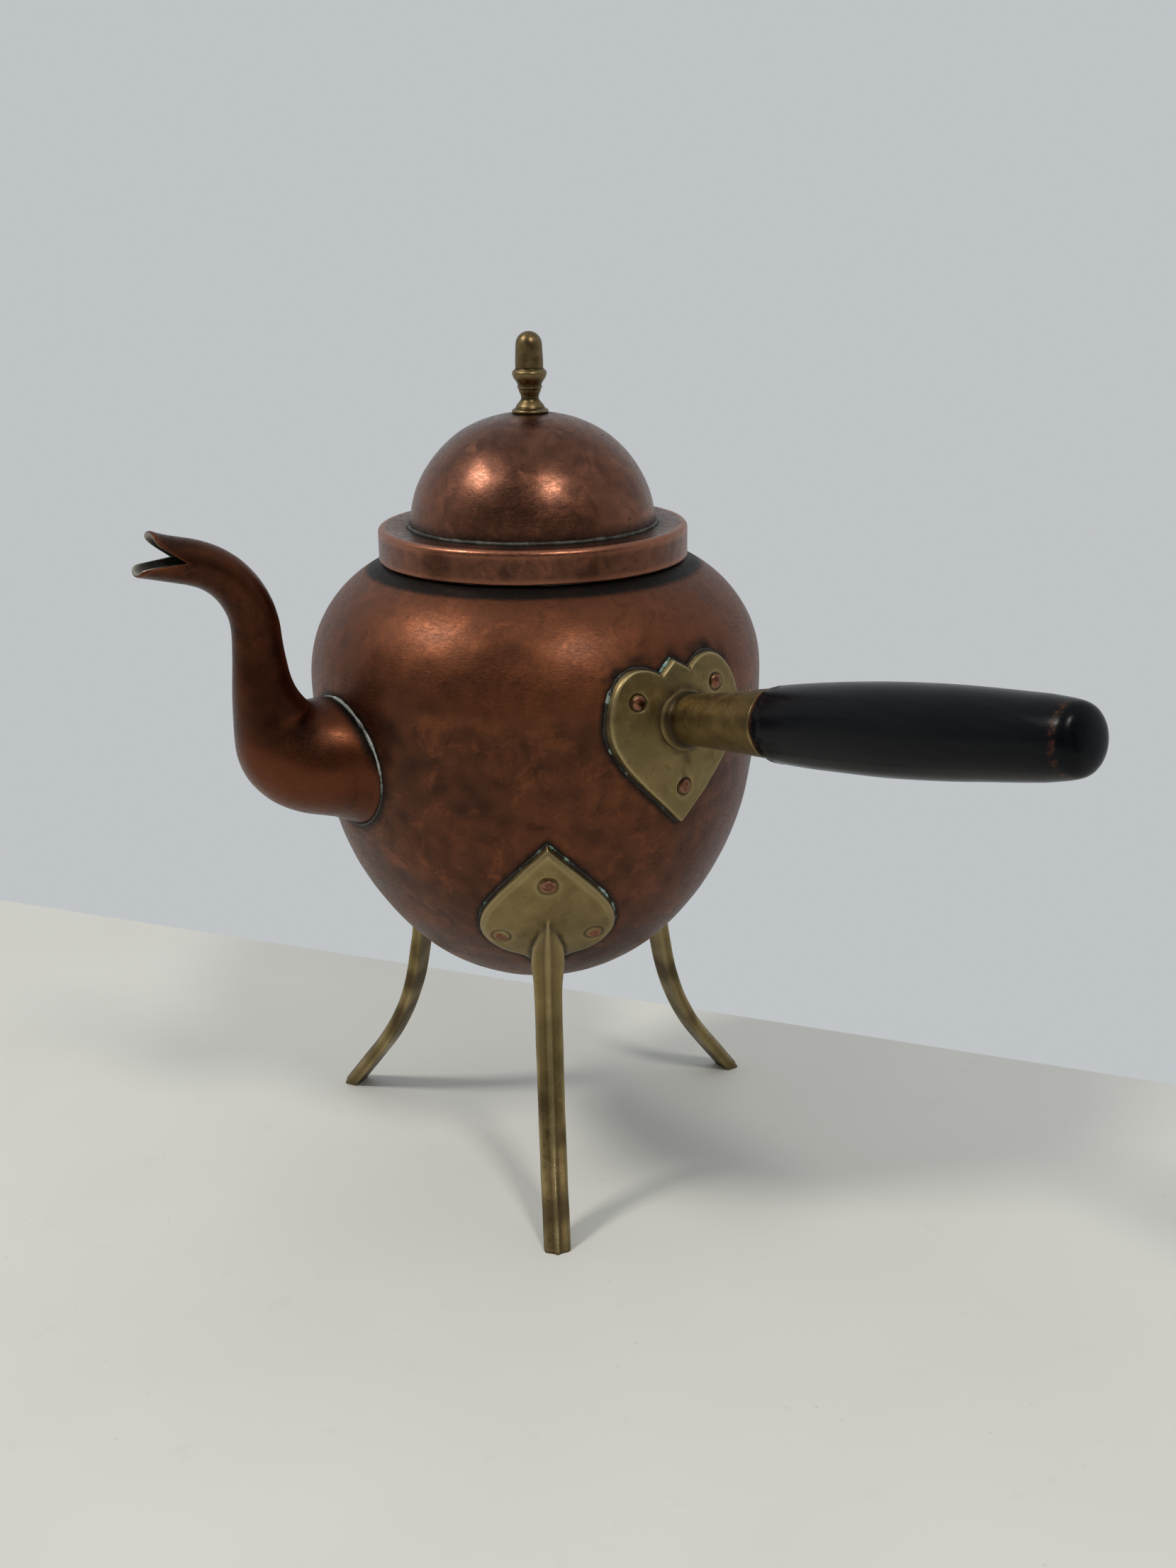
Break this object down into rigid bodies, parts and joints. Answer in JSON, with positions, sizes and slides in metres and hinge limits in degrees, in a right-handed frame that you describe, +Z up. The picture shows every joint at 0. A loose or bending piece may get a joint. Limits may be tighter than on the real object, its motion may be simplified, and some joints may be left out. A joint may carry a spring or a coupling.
{
  "type": "copper kettle",
  "caption": "Round-bellied copper kettle on a brass tripod, with a swan-neck spout, a black wooden side handle in a heart-plated brass socket and a lift-off domed lid.",
  "frame": {"origin": "on the floor, where the body's axis meets it", "axes": "+Z up along the body's axis, +X towards the spout, +Y to the handle's side (the handle stands 4 degrees past it)"},
  "size_m": [0.2044, 0.2777, 0.2585],
  "materials": {
    "copper": "dark mottled patina, tinned inside",
    "rivet_copper": "worn",
    "brass": "olive antique patina",
    "solder": "dull",
    "ebony": "black, satin"
  },
  "bodies": {
    "kettle": {"body_shell": "copper", "neck_collar": "copper", "spout": "copper", "spout_seam": "solder", "handle_plate": "brass", "handle_socket": "brass", "handle_grip": "ebony", "handle_pin": "brass", "handle_rivets": "rivet_copper", "leg_front": "brass", "leg_back": "brass", "leg_side": "brass", "leg_front_rivets": "rivet_copper", "leg_back_rivets": "rivet_copper", "leg_side_rivets": "rivet_copper"},
    "lid": {"lid_rim": "copper", "lid_dome": "copper", "lid_seam": "solder", "lid_knob": "brass", "knob_washer": "rivet_copper"}
  },
  "joints": [
    {"name": "lid_lift", "type": "slide", "parent": "kettle", "child": "lid", "axis": [0, 0, 1], "range_m": [0, 0.08]}
  ]
}
